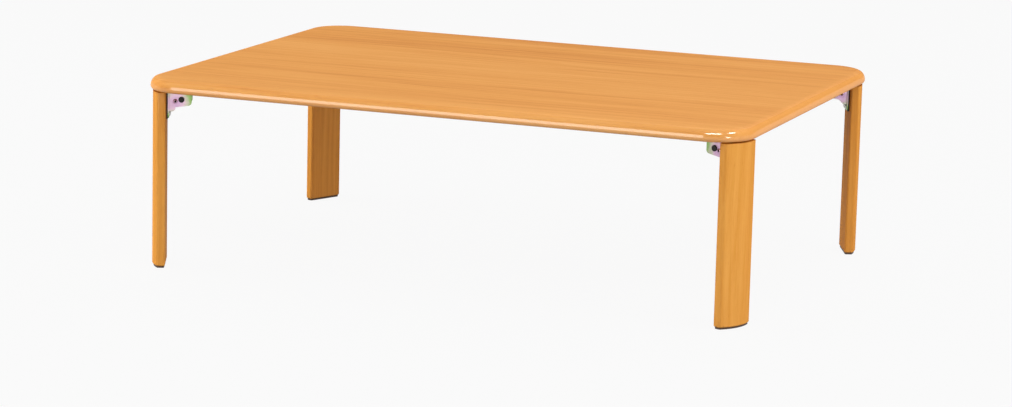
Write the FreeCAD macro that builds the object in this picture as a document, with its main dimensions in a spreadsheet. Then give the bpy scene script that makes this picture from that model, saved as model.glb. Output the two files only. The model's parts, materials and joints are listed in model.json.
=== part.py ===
import FreeCAD, Part
import os
import re
import Sketcher

# Low table with four folding legs. X runs along the long side of the top, Y along the short side, Z is up.
# The origin lies on the floor under the middle of the top. All sizes are millimetres or degrees.
#
# Every corner unit (leg, pads, brackets, spring and fasteners) is drawn in a frame of its own:
# x points outward through the leg, y runs along the leg's width and the fold axis, z is up.
# That frame's origin lies on the underside of the top, in the middle of the leg's inner face.

SIZES = {
    "top_length": 1050,
    "top_width": 750,
    "table_height": 320,
    "top_thick": 22,
    "top_corner_radius": 66,
    "edge_lower_round": 6.5,
    "edge_flat": 1,
    "leg_inset": 4,
    "leg_turn": 24,
    "leg_gap": 2,
    "leg_width": 70,
    "leg_end_thick": 14,
    "leg_bulge": 9,
    "leg_outer_round": 5,
    "leg_inner_round": 3,
    "leg_foot_round": 2.5,
    "foot_thick": 3,
    "foot_inset": 1.5,
    "foot_round": 3,
    "backing_thick": 2.5,
    "backing_overhang": 2,
    "sheet_thick": 2,
    "plate_width": 40,
    "plate_drop": 47,
    "plate_round": 5,
    "stop_gap": 0.1,
    "pivot_drop": 18.5,
    "channel_width": 36,
    "base_ear_radius": 10,
    "ear_clearance": 0.5,
    "ear_end_reach": 17,
    "ear_end_drop": 25,
    "ear_end_round": 6,
    "bend_radius": 0.8,
    "cheek_gap": 0.4,
    "cheek_room": 1.2,
    "cheek_foot_margin": 11,
    "cheek_foot_round": 6,
    "post_reach": 10,
    "post_rise": 3,
    "anchor_radius": 6,
    "fold_angle": 90,
    "rivet_diameter": 6,
    "rivet_head_diameter": 8,
    "rivet_crown_diameter": 5,
    "rivet_head_height": 2,
    "rivet_tail_diameter": 8.5,
    "rivet_tail_height": 1.2,
    "tail_gap": 0.2,
    "running_fit": 0.05,
    "pin_diameter": 3.5,
    "post_head_diameter": 10,
    "post_head_height": 2,
    "spring_wire": 1,
    "spring_diameter": 6,
    "eye_clearance": 0.3,
    "screw_diameter": 4,
    "screw_head_diameter": 8,
    "screw_head_height": 2.2,
    "screw_clearance": 0.1,
    "screw_head_room": 1.6,
    "base_screw_cover": 9,
    "base_screw_margin": 7,
    "leg_screw_cover": 4.5,
    "leg_screw_margin": 6,
    "leg_screw_pitch": 10,
}

# The four corners, each with the signs of its X and Y place.
CORNERS = {
    "front_left": (-1, -1),
    "front_right": (1, -1),
    "back_left": (-1, 1),
    "back_right": (1, 1),
}

# Lengths that several pieces share, written with the names of the sheet.
UNDERSIDE = "(table_height - top_thick)"
# The board's edge is a broad round above, a narrow flat and a tighter round below.
EDGE_UPPER_ROUND = "(top_thick - edge_flat - edge_lower_round)"
# The leg's outer face keeps one distance from the board's rounded corner, measured through the leg's middle.
LEG_REACH = "(top_corner_radius - leg_inset - leg_end_thick - leg_bulge)"
LEG_PLACE_X = f"(top_length / 2 - top_corner_radius + {LEG_REACH} * cos(leg_turn * 1deg))"
LEG_PLACE_Y = f"(top_width / 2 - top_corner_radius + {LEG_REACH} * sin(leg_turn * 1deg))"
CHANNEL_INSIDE = "(channel_width - 2 * sheet_thick)"
CHEEK_OUTSIDE = "(channel_width - 2 * sheet_thick - 2 * cheek_gap)"
CHEEK_INSIDE = "(channel_width - 4 * sheet_thick - 2 * cheek_gap)"
PLATE_FACE = "(backing_thick + sheet_thick)"
LEG_ARC = "((leg_width ^ 2 / 4 + leg_bulge ^ 2) / (2 * leg_bulge))"
SCREW_HOLE = "(screw_diameter + 2 * screw_clearance)"
# The screw heads stand between the cheeks, and a cover of wood is left beyond the point of every screw.
SCREW_SPREAD = f"({CHEEK_INSIDE} - screw_head_diameter - 2 * screw_head_room)"
BASE_SCREW_DEPTH = "(top_thick - base_screw_cover)"
LEG_SCREW_DEPTH = "(leg_end_thick - leg_screw_cover)"
BEND_OUTSIDE = "(bend_radius + sheet_thick)"
# The leg bracket's plate turns just clear of the base bracket's ears, which sets the pivot's place.
PIVOT_INSET = f"({PLATE_FACE} + ear_clearance + base_ear_radius)"
POST_INSET = f"({PIVOT_INSET} + post_reach)"
POST_DROP = "(pivot_drop - post_rise)"
CHANNEL_LENGTH = f"({POST_INSET} + ear_end_reach)"
# The spring's line from the post through the pivot is its dead centre. The pin stands half a fold to either
# side of that line in the open and in the folded position.
DEAD_CENTRE = "atan2(-post_rise; post_reach)"
ANCHOR_ANGLE = f"({DEAD_CENTRE} + fold_angle * 1deg / 2)"
ANCHOR_X = f"(anchor_radius * cos({ANCHOR_ANGLE}) - {PIVOT_INSET})"
ANCHOR_Z = f"(anchor_radius * sin({ANCHOR_ANGLE}) - pivot_drop)"
POST_TO_PIVOT = "sqrt(post_reach ^ 2 + post_rise ^ 2)"
# The cheeks end in a round that turns clear of the spring post.
CHEEK_RADIUS = f"({POST_TO_PIVOT} - pin_diameter / 2 - cheek_room)"
POST_TO_PIN = f"sqrt(({ANCHOR_X} + {POST_INSET}) ^ 2 + ({ANCHOR_Z} + {POST_DROP}) ^ 2)"
SPRING_TILT = f"atan2({ANCHOR_Z} + {POST_DROP}; {ANCHOR_X} + {POST_INSET})"
EYE_RADIUS = "(pin_diameter / 2 + eye_clearance)"

doc = FreeCAD.newDocument("chabudai")
sheet = doc.addObject("Spreadsheet::Sheet", "sizes")
for row, (alias, size) in enumerate(SIZES.items(), start=1):
    sheet.set(f"A{row}", alias)
    sheet.set(f"B{row}", str(size))
    sheet.setAlias(f"B{row}", alias)
doc.recompute()

ALIAS = re.compile(r"\b(" + "|".join(SIZES) + r")\b")
NEAR = 1e-4
HALF_CIRCLE = "half circle"
pieces = []


def tied(text):
    """The expression with every size name turned into a reference to the sheet."""
    return ALIAS.sub(r"sizes.\1", text)


def number(text):
    """The present value of an expression."""
    value = sheet.evalExpression(tied(text))
    return float(getattr(value, "Value", value))


def bind(item, name, text):
    """Tie one property of an object to the sheet."""
    item.setExpression(name, tied(text))


def new_body(label, corner=None):
    """An empty body, placed at its corner when it belongs to one."""
    body = doc.addObject("PartDesign::Body", label)
    body.Label = label
    if corner:
        sign_x, sign_y = CORNERS[corner]
        upright = FreeCAD.Rotation(FreeCAD.Vector(0, 0, 1), 1)
        body.Placement = FreeCAD.Placement(FreeCAD.Vector(), upright)
        half_turn = 0 if sign_x > 0 else 180
        bind(body, "Placement.Base.x", f"{sign_x} * {LEG_PLACE_X}")
        bind(body, "Placement.Base.y", f"{sign_y} * {LEG_PLACE_Y}")
        bind(body, "Placement.Base.z", UNDERSIDE)
        bind(body, "Placement.Rotation.Angle", f"({half_turn} + {sign_x * sign_y} * leg_turn) * 1deg")
    pieces.append(body)
    return body


def new_sketch(body, plane, offset="0", shift=None):
    """A sketch on one of the body's own planes, moved along its normal and, if asked, along its two axes."""
    sketch = body.newObject("Sketcher::SketchObject", "sketch")
    support = next(item for item in body.Origin.OriginFeatures if item.Role == plane)
    sketch.AttachmentSupport = (support, [""])
    sketch.MapMode = "FlatFace"
    bind(sketch, "AttachmentOffset.Base.z", offset)
    if shift:
        bind(sketch, "AttachmentOffset.Base.x", shift[0])
        bind(sketch, "AttachmentOffset.Base.y", shift[1])
    return sketch


def hold(sketch, kind, references, text):
    """Add a dimension to the sketch and tie it to the sheet."""
    index = sketch.addConstraint(Sketcher.Constraint(kind, *references, number(text)))
    bind(sketch, f"Constraints[{index}]", text)


def outline(sketch, corners):
    """A closed outline. Each corner is an x and a y, and a third text makes the edge that leaves it an arc
    that bulges to the right of its direction: an arc of that radius, or an upright half circle."""
    points = [FreeCAD.Vector(number(corner[0]), number(corner[1]), 0) for corner in corners]
    count = len(points)
    first = sketch.GeometryCount
    for index, corner in enumerate(corners):
        start = points[index]
        end = points[(index + 1) % count]
        if len(corner) == 2:
            sketch.addGeometry(Part.LineSegment(start, end))
            continue
        chord = end - start
        radius = chord.Length / 2 if corner[2] == HALF_CIRCLE else number(corner[2])
        rise = radius - max(radius ** 2 - chord.Length ** 2 / 4, 0) ** 0.5
        right = FreeCAD.Vector(chord.y, -chord.x, 0).normalize()
        sketch.addGeometry(Part.Arc(start, (start + end) / 2 + right * rise, end))
    for index, corner in enumerate(corners):
        here = first + index
        after = first + (index + 1) % count
        sketch.addConstraint(Sketcher.Constraint("Coincident", here, 2, after, 1))
        hold(sketch, "DistanceX", (-1, 1, here, 1), corner[0])
        hold(sketch, "DistanceY", (-1, 1, here, 1), corner[1])
        if len(corner) == 3 and corner[2] == HALF_CIRCLE:
            hold(sketch, "DistanceX", (-1, 1, here, 3), corner[0])
        elif len(corner) == 3:
            hold(sketch, "Radius", (here,), corner[2])


def rectangle(sketch, left, right, low, high):
    """An upright rectangle between two x and two y values."""
    outline(sketch, [(left, low), (right, low), (right, high), (left, high)])


def circle(sketch, x, y, diameter):
    """A full circle."""
    middle = FreeCAD.Vector(number(x), number(y), 0)
    here = sketch.addGeometry(Part.Circle(middle, FreeCAD.Vector(0, 0, 1), number(diameter) / 2))
    hold(sketch, "DistanceX", (-1, 1, here, 3), x)
    hold(sketch, "DistanceY", (-1, 1, here, 3), y)
    hold(sketch, "Diameter", (here,), diameter)


def pad(body, sketch, length, way="along"):
    """Raise a sketch into a solid: along its normal, against it, or half to each side."""
    feature = body.newObject("PartDesign::Pad", "pad")
    feature.Profile = sketch
    feature.SideType = "Symmetric" if way == "both" else "One side"
    feature.Reversed = way == "against"
    bind(feature, "Length", length)
    doc.recompute()
    return feature


def pocket(body, sketch, length, way="against"):
    """Cut a sketch out of the body and make sure that something went away."""
    before = body.Shape.Volume
    feature = body.newObject("PartDesign::Pocket", "pocket")
    feature.Profile = sketch
    feature.SideType = "Symmetric" if way == "both" else "One side"
    feature.Reversed = way == "along"
    bind(feature, "Length", length)
    doc.recompute()
    if body.Shape.Volume > before - NEAR:
        raise RuntimeError(f"a pocket of {body.Label} cuts nothing")
    return feature


def turned(body, sketch):
    """Turn a half profile about the sketch's own horizontal axis."""
    feature = body.newObject("PartDesign::Revolution", "turned")
    feature.Profile = sketch
    feature.ReferenceAxis = (sketch, ["H_Axis"])
    feature.Angle = 360
    doc.recompute()
    return feature


def lies_at(edge, **places):
    """True when the whole edge lies at the given x, y or z."""
    box = edge.BoundBox
    for axis, place in places.items():
        low = getattr(box, axis.upper() + "Min")
        high = getattr(box, axis.upper() + "Max")
        if abs(low - place) > NEAR or abs(high - place) > NEAR:
            return False
    return True


def rounded(body, chosen, radius):
    """Round the chosen edges of the body as it stands."""
    base = body.Tip
    names = [f"Edge{index}" for index, edge in enumerate(base.Shape.Edges, start=1) if chosen(edge)]
    feature = body.newObject("PartDesign::Fillet", "rounded")
    feature.Base = (base, names)
    bind(feature, "Radius", radius)
    doc.recompute()
    return feature


def corner_place(corner, x, y):
    """Where a point of a corner unit lies in the frame of the whole table, as two expressions."""
    sign_x, sign_y = CORNERS[corner]
    turn = "leg_turn * 1deg"
    place_x = f"{sign_x} * ({LEG_PLACE_X} + ({x}) * cos({turn}) - ({y}) * sin({turn}))"
    place_y = f"{sign_y} * ({LEG_PLACE_Y} + ({x}) * sin({turn}) + ({y}) * cos({turn}))"
    return place_x, place_y


def base_screw_spots():
    """The four screws of a base bracket, as x and y in the corner frame."""
    spots = []
    for inset in (f"({PLATE_FACE} + base_screw_margin)", f"({CHANNEL_LENGTH} - base_screw_margin)"):
        for side in ("-", ""):
            spots.append((f"-{inset}", f"{side}{SCREW_SPREAD} / 2"))
    return spots


def leg_screw_spots():
    """The four screws of a leg bracket, as y and z in the corner frame."""
    spots = []
    for rise in ("leg_screw_margin", "leg_screw_margin + leg_screw_pitch"):
        for side in ("-", ""):
            spots.append((f"{side}{SCREW_SPREAD} / 2", f"{rise} - plate_drop"))
    return spots


def leg_section(inset="0"):
    """The leg's section: flat inside, flat ends and a convex outside, drawn smaller by an inset."""
    low = f"-leg_width / 2 + {inset}"
    high = f"leg_width / 2 - {inset}"
    outer = f"leg_end_thick - {inset}"
    return [(inset, low), (outer, low, LEG_ARC), (outer, high), (inset, high)]


def make_top():
    """The board: a rounded rectangle with an uneven round edge and pilot holes for the bracket screws."""
    body = new_body("table_top")
    sketch = new_sketch(body, "XY_Plane", UNDERSIDE)
    rectangle(sketch, "-top_length / 2", "top_length / 2", "-top_width / 2", "top_width / 2")
    pad(body, sketch, "top_thick")
    rounded(body, lambda edge: edge.BoundBox.ZLength > number("top_thick") / 2, "top_corner_radius")
    for level, radius in ((UNDERSIDE, "edge_lower_round"), ("table_height", EDGE_UPPER_ROUND)):
        place = number(level)
        rounded(body, lambda edge: lies_at(edge, z=place), radius)
    holes = new_sketch(body, "XY_Plane", UNDERSIDE)
    for corner in CORNERS:
        for x, y in base_screw_spots():
            circle(holes, *corner_place(corner, x, y), SCREW_HOLE)
    pocket(body, holes, f"{BASE_SCREW_DEPTH} + screw_clearance", "along")


def make_leg(corner):
    """The plank leg, with rounded edges, a sawn upper end and pilot holes in its inner face."""
    body = new_body(f"leg_{corner}", corner)
    sketch = new_sketch(body, "XY_Plane", "-leg_gap")
    outline(sketch, leg_section())
    pad(body, sketch, f"{UNDERSIDE} - leg_gap - foot_thick", "against")
    upright = number(UNDERSIDE) / 2
    inner = lambda edge: edge.BoundBox.ZLength > upright and lies_at(edge, x=0)
    rounded(body, inner, "leg_inner_round")
    outer_place = number("leg_end_thick")
    outer = lambda edge: edge.BoundBox.ZLength > upright and lies_at(edge, x=outer_place)
    rounded(body, outer, "leg_outer_round")
    foot_place = number(f"foot_thick - {UNDERSIDE}")
    rounded(body, lambda edge: lies_at(edge, z=foot_place), "leg_foot_round")
    holes = new_sketch(body, "YZ_Plane")
    for y, z in leg_screw_spots():
        circle(holes, y, z, SCREW_HOLE)
    pocket(body, holes, f"{LEG_SCREW_DEPTH} + screw_clearance", "along")


def make_foot_pad(corner):
    """The thin pad stuck under the leg's foot."""
    body = new_body(f"foot_pad_{corner}", corner)
    sketch = new_sketch(body, "XY_Plane", f"-{UNDERSIDE}")
    outline(sketch, leg_section("foot_inset"))
    pad(body, sketch, "foot_thick")
    half = number("foot_thick") / 2
    rounded(body, lambda edge: edge.BoundBox.ZLength > half, "foot_round")


def round_lower_corners(body, drop, radius):
    """Round the two lower corners of an upright plate."""
    low = number(f"-({drop})")
    rounded(body, lambda edge: edge.BoundBox.YLength < NEAR and lies_at(edge, z=low), radius)


def make_backing_pad(corner):
    """The dark pad between the leg and its bracket, a little longer than the bracket's plate."""
    body = new_body(f"backing_pad_{corner}", corner)
    drop = "plate_drop + backing_overhang"
    sketch = new_sketch(body, "YZ_Plane")
    rectangle(sketch, "-plate_width / 2", "plate_width / 2", f"-({drop})", "-sheet_thick - stop_gap")
    pad(body, sketch, "backing_thick", "against")
    round_lower_corners(body, drop, "plate_round")
    holes = new_sketch(body, "YZ_Plane")
    for y, z in leg_screw_spots():
        circle(holes, y, z, SCREW_HOLE)
    pocket(body, holes, "backing_thick")


def make_leg_bracket(corner):
    """The leg's steel bracket: a plate whose upper end stops against the base bracket, and two cheeks that
    carry the pivot and the spring pin."""
    body = new_body(f"leg_bracket_{corner}", corner)
    sketch = new_sketch(body, "YZ_Plane", "-backing_thick")
    rectangle(sketch, "-plate_width / 2", "plate_width / 2", "-plate_drop", "-sheet_thick - stop_gap")
    pad(body, sketch, "sheet_thick", "against")
    round_lower_corners(body, "plate_drop", "plate_round")
    cheeks = new_sketch(body, "XZ_Plane")
    back = "-backing_thick"
    front = f"-{PIVOT_INSET} - {CHEEK_RADIUS}"
    upper = f"{CHEEK_RADIUS} - pivot_drop"
    foot = "cheek_foot_margin - plate_drop"
    outline(cheeks, [(back, upper), (f"-{PIVOT_INSET}", upper, CHEEK_RADIUS),
                     (front, "-pivot_drop", CHEEK_RADIUS),
                     (f"-{PIVOT_INSET}", f"-pivot_drop - {CHEEK_RADIUS}"),
                     (f"-{PIVOT_INSET}", f"{foot} + cheek_foot_round", "cheek_foot_round"),
                     (f"cheek_foot_round - {PIVOT_INSET}", foot), (back, foot)])
    pad(body, cheeks, CHEEK_OUTSIDE, "both")
    channel = new_sketch(body, "XY_Plane")
    half = f"{CHEEK_INSIDE} / 2"
    rectangle(channel, f"{front} - sheet_thick", f"-{PLATE_FACE}", f"-{half}", half)
    pocket(body, channel, "2 * plate_drop", "both")
    holes = new_sketch(body, "XZ_Plane")
    circle(holes, f"-{PIVOT_INSET}", "-pivot_drop", "rivet_diameter + 2 * running_fit")
    circle(holes, ANCHOR_X, ANCHOR_Z, "pin_diameter")
    pocket(body, holes, "channel_width", "both")
    screws = new_sketch(body, "YZ_Plane")
    for y, z in leg_screw_spots():
        circle(screws, y, z, SCREW_HOLE)
    pocket(body, screws, PLATE_FACE)


def make_base_bracket(corner):
    """The steel channel under the top: a web with four screw holes and two ears bent down from its sides."""
    body = new_body(f"base_bracket_{corner}", corner)
    ears = new_sketch(body, "XZ_Plane")
    outer = f"base_ear_radius - {PIVOT_INSET}"
    low = "-pivot_drop - base_ear_radius"
    end = f"-{CHANNEL_LENGTH}"
    web_end = "-ear_clearance"
    outline(ears, [(web_end, "0"), (end, "0"), (end, "-ear_end_drop"),
                   (f"-{PIVOT_INSET}", low, "base_ear_radius"), (outer, "-pivot_drop"),
                   (outer, "-sheet_thick"), (web_end, "-sheet_thick")])
    pad(body, ears, "channel_width", "both")
    end_corner = {"x": number(end), "z": number("-ear_end_drop")}
    rounded(body, lambda edge: lies_at(edge, **end_corner), "ear_end_round")
    inside = new_sketch(body, "YZ_Plane")
    half = f"{CHANNEL_INSIDE} / 2"
    rectangle(inside, f"-{half}", half, f"{low} - sheet_thick", "-sheet_thick")
    pocket(body, inside, f"2 * {CHANNEL_LENGTH}", "both")
    for spread, level, radius in (("channel_width", "0", BEND_OUTSIDE),
                                  (CHANNEL_INSIDE, "-sheet_thick", "bend_radius")):
        side = number(f"{spread} / 2")
        place = number(level)
        bend = lambda edge: lies_at(edge, y=side, z=place) or lies_at(edge, y=-side, z=place)
        rounded(body, bend, radius)
    holes = new_sketch(body, "XZ_Plane")
    circle(holes, f"-{PIVOT_INSET}", "-pivot_drop", "rivet_diameter")
    circle(holes, f"-{POST_INSET}", f"-{POST_DROP}", "pin_diameter")
    pocket(body, holes, "2 * channel_width", "both")
    screws = new_sketch(body, "XY_Plane")
    for x, y in base_screw_spots():
        circle(screws, x, y, SCREW_HOLE)
    pocket(body, screws, "sheet_thick")


def make_pivot_rivets(corner):
    """Two short rivets on one axis, one through each ear and cheek: the spring passes between them."""
    body = new_body(f"pivot_rivets_{corner}", corner)
    sketch = new_sketch(body, "YZ_Plane", f"-{PIVOT_INSET}", ("0", "-pivot_drop"))
    tail = f"{CHEEK_INSIDE} / 2 - tail_gap"
    for side in ("", "-"):
        face = f"{side}channel_width / 2"
        top = f"{side}(channel_width / 2 + rivet_head_height)"
        seat = f"{side}({tail})"
        end = f"{side}({tail} - rivet_tail_height)"
        outline(sketch, [(end, "0"), (end, "rivet_tail_diameter / 2"), (seat, "rivet_tail_diameter / 2"),
                         (seat, "rivet_diameter / 2"), (face, "rivet_diameter / 2"),
                         (face, "rivet_head_diameter / 2"), (top, "rivet_crown_diameter / 2"), (top, "0")])
    turned(body, sketch)


def make_spring_post(corner):
    """The fixed pin across the base bracket, with a small head outside each ear."""
    body = new_body(f"spring_post_{corner}", corner)
    sketch = new_sketch(body, "YZ_Plane", f"-{POST_INSET}", ("0", f"-{POST_DROP}"))
    face = "channel_width / 2"
    end = "(channel_width / 2 + post_head_height)"
    head = "post_head_diameter / 2"
    pin = "pin_diameter / 2"
    outline(sketch, [(f"-{end}", "0"), (f"-{end}", head), (f"-{face}", head), (f"-{face}", pin),
                     (face, pin), (face, head), (end, head), (end, "0")])
    turned(body, sketch)


def make_spring_pin(corner):
    """The plain pin across the cheeks of the leg bracket that the spring pulls on."""
    body = new_body(f"spring_pin_{corner}", corner)
    sketch = new_sketch(body, "YZ_Plane", ANCHOR_X, ("0", ANCHOR_Z))
    half = f"{CHEEK_OUTSIDE} / 2"
    rectangle(sketch, f"-{half}", half, "0", "pin_diameter / 2")
    turned(body, sketch)


def make_spring(corner):
    """The tension spring: a close-wound barrel with a round eye on the post and a long eye round the pin."""
    body = new_body(f"spring_{corner}")
    bind(body, "Placement", spring_placement(corner))
    barrel_start = f"({EYE_RADIUS} + spring_wire / 2)"
    barrel_end = f"({POST_TO_PIN} - {EYE_RADIUS} - spring_wire / 2)"
    sketch = new_sketch(body, "XZ_Plane")
    rectangle(sketch, barrel_start, barrel_end, "0", "spring_diameter / 2")
    turned(body, sketch)
    eyes = new_sketch(body, "XZ_Plane")
    rim = f"({EYE_RADIUS} + spring_wire)"
    reach = f"({POST_TO_PIVOT} + anchor_radius)"
    circle(eyes, "0", "0", f"2 * {rim}")
    circle(eyes, "0", "0", f"2 * {EYE_RADIUS}")
    for edge in (rim, EYE_RADIUS):
        outline(eyes, [(POST_TO_PIN, f"-{edge}"), (reach, f"-{edge}", HALF_CIRCLE),
                       (reach, edge), (POST_TO_PIN, edge, HALF_CIRCLE)])
    pad(body, eyes, "spring_wire", "both")


def spring_placement(corner):
    """The spring's own frame: its origin on the post's axis, its x axis towards the pin."""
    sign_x, sign_y = CORNERS[corner]
    half_turn = 0 if sign_x > 0 else 180
    place_x, place_y = corner_place(corner, f"-{POST_INSET}", "0")
    turn = f"rotation(vector(0; 0; 1); ({half_turn} + {sign_x * sign_y} * leg_turn) * 1deg)"
    tilt = f"rotation(vector(0; 1; 0); -({SPRING_TILT}))"
    return f"placement(vector({place_x}; {place_y}; {UNDERSIDE} - {POST_DROP}); {turn} * {tilt})"


def make_base_screws(corner):
    """The four pan-head screws that hold the base bracket under the top."""
    body = new_body(f"base_screws_{corner}", corner)
    heads = new_sketch(body, "XY_Plane", "-sheet_thick")
    shanks = new_sketch(body, "XY_Plane", "-sheet_thick")
    for x, y in base_screw_spots():
        circle(heads, x, y, "screw_head_diameter")
        circle(shanks, x, y, "screw_diameter")
    pad(body, heads, "screw_head_height", "against")
    pad(body, shanks, f"sheet_thick + {BASE_SCREW_DEPTH}")


def make_leg_screws(corner):
    """The four pan-head screws that hold the leg bracket and its backing pad on the leg."""
    body = new_body(f"leg_screws_{corner}", corner)
    heads = new_sketch(body, "YZ_Plane", f"-{PLATE_FACE}")
    shanks = new_sketch(body, "YZ_Plane", f"-{PLATE_FACE}")
    for y, z in leg_screw_spots():
        circle(heads, y, z, "screw_head_diameter")
        circle(shanks, y, z, "screw_diameter")
    pad(body, heads, "screw_head_height", "against")
    pad(body, shanks, f"{PLATE_FACE} + {LEG_SCREW_DEPTH}")


make_top()
for corner_name in CORNERS:
    make_leg(corner_name)
    make_foot_pad(corner_name)
    make_backing_pad(corner_name)
    make_leg_bracket(corner_name)
    make_base_bracket(corner_name)
    make_pivot_rivets(corner_name)
    make_spring_post(corner_name)
    make_spring_pin(corner_name)
    make_spring(corner_name)
    make_base_screws(corner_name)
    make_leg_screws(corner_name)
doc.recompute()

for item in doc.Objects:
    if "Invalid" in item.State or "Error" in item.State:
        raise RuntimeError(f"{item.Label} did not build: {item.State}")
for piece in pieces:
    if piece.Shape.isNull() or not piece.Shape.isValid():
        raise RuntimeError(f"{piece.Label} has no valid shape")

os.makedirs("parts", exist_ok=True)
for piece in pieces:
    piece.Shape.exportStep(f"parts/{piece.Label}.step")
    print(f"{piece.Label}: {len(piece.Shape.Solids)} solid(s), {piece.Shape.Volume:.1f} mm3")
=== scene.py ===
# %% [markdown]
# # A low table with folding legs
#
# The table was built in CAD first, as separate parts with hinges. This lesson loads that model, keeps it as a
# fixed frame and gives it its looks: honey-coloured wood, plated brackets, real screws and springs, light and a
# camera. All lengths are in metres, and each new piece is a numpy surface that goes where the CAD part is.

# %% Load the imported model
import json
import math
import bpy
import numpy as np
from mathutils import Matrix, Vector


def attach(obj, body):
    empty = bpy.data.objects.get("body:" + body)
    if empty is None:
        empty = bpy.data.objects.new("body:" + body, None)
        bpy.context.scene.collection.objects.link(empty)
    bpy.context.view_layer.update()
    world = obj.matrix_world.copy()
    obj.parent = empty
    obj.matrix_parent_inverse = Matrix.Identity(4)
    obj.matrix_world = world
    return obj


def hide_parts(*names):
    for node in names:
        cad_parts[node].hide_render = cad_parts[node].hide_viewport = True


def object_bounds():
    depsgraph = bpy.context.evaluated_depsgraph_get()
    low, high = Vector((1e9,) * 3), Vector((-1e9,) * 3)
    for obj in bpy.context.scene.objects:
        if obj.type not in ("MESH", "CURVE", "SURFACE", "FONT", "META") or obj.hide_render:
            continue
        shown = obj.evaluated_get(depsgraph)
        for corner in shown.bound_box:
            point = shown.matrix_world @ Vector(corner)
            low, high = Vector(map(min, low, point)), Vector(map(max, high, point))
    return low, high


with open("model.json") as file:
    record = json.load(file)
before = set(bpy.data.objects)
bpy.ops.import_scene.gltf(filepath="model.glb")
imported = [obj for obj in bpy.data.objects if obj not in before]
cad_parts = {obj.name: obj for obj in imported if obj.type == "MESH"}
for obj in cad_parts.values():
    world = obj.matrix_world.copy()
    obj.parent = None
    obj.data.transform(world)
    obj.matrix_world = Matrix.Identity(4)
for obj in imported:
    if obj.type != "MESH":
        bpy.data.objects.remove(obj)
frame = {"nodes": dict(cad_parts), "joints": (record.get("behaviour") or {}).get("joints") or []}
cad_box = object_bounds()
print("CAD box:", [[round(value, 4) for value in corner] for corner in cad_box])

# %% [markdown]
# ## The camera
#
# The photograph was taken with a long lens from the front, a little to the right and a little above the board.
# A camera could be turned by hand until it looks right, but angles round the table's middle are easier to read
# and to repeat: how far round, how far up, how far away, and a small roll.

# %% Place the camera
TOP_HEIGHT = cad_box[1][2]
IMAGE_WIDTH = 1012
FOCAL_PIXELS = 3484.0
SENSOR_MILLIMETRES = 36.0
AZIMUTH = math.radians(21.138)
ELEVATION = math.radians(11.043)
ROLL = math.radians(1.421)
DISTANCE = 5.941
LOOK_AT = Vector((0.0, 0.0, TOP_HEIGHT / 2))
SLIDE_RIGHT = -0.0102
SLIDE_UP = -0.0657

level = math.cos(ELEVATION)
back = Vector((math.sin(AZIMUTH) * level, -math.cos(AZIMUTH) * level, math.sin(ELEVATION)))
right = back.cross(Vector((0, 0, -1))).normalized()
up = back.cross(right)
place = LOOK_AT + right * SLIDE_RIGHT + up * SLIDE_UP + back * DISTANCE
rolled_right = right * math.cos(ROLL) + up * math.sin(ROLL)
rolled_up = up * math.cos(ROLL) - right * math.sin(ROLL)

camera = bpy.data.objects.new("camera", bpy.data.cameras.new("camera"))
camera.data.sensor_fit = "HORIZONTAL"
camera.data.sensor_width = SENSOR_MILLIMETRES
camera.data.lens = FOCAL_PIXELS / IMAGE_WIDTH * SENSOR_MILLIMETRES
camera.matrix_world = Matrix((rolled_right, rolled_up, back)).transposed().to_4x4()
camera.matrix_world.translation = place
bpy.context.scene.collection.objects.link(camera)
bpy.context.scene.camera = camera
print("camera at", [round(value, 3) for value in place], "lens", round(camera.data.lens, 1), "mm")

# %% [markdown]
# ## The four corners
#
# Each leg folds about a short axle under its corner, turned a little from the table's sides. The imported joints
# know where that axle is and which way it points, so nothing is measured again. A corner's own directions are
# out through the leg, along the axle, and up, and a CAD part's points are easy to read in them.

# %% Corner directions
CORNERS = ("front_left", "front_right", "back_left", "back_right")


def corner_axes(corner):
    """Gives the axle's middle and the rows out, along and up, where out is along x up."""
    fold = next(joint for joint in frame["joints"] if joint["name"] == "leg_fold_" + corner)
    along = np.array(fold["axis"])
    upward = np.array((0.0, 0.0, 1.0))
    return np.array(fold["pos_m"]), np.stack((np.cross(along, upward), along, upward))


def to_table(corner, points):
    """Turns (out, along, up) from the axle into table coordinates: axle + each number times its direction."""
    axle, directions = corner_axes(corner)
    return axle + points @ directions


def corner_points(node, corner):
    """Reads a CAD part's points as (out, along, up) from the axle of its corner."""
    mesh = frame["nodes"][node + "_" + corner].data
    points = np.empty(len(mesh.vertices) * 3)
    mesh.vertices.foreach_get("co", points)
    axle, directions = corner_axes(corner)
    return (points.reshape(-1, 3) - axle) @ directions.T


for corner in CORNERS:
    axle, directions = corner_axes(corner)
    print(corner, "axle at", axle.round(4), "out", directions[0].round(3))

# %% [markdown]
# ## From a grid of points to a closed skin
#
# Screws, rivets, posts and springs are all round things, and each can be written as a grid: rows go along the
# piece and columns go round it. Blender could lathe or sweep them with modifiers, but one numpy array is exact,
# quick and easy to print. The first and last row shrink to a point, so each end closes with a fan of triangles.

# %% Skin helper
CREASE = math.radians(35)


def grid_faces(rows, columns):
    """Numbers the faces of a closed grid: quads between rings that meet round the piece, a fan at each pole."""
    rings = np.arange((rows - 2) * columns).reshape(rows - 2, columns)
    after = np.roll(rings, -1, axis=1)
    first, last = rings.size, rings.size + 1
    quads = np.stack((rings[:-1], rings[1:], after[1:], after[:-1]), axis=-1).reshape(-1, 4)
    start = np.stack((np.full(columns, first), rings[0], after[0]), axis=-1)
    end = np.stack((np.full(columns, last), after[-1], rings[-1]), axis=-1)
    return quads, np.concatenate((start, end))


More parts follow.
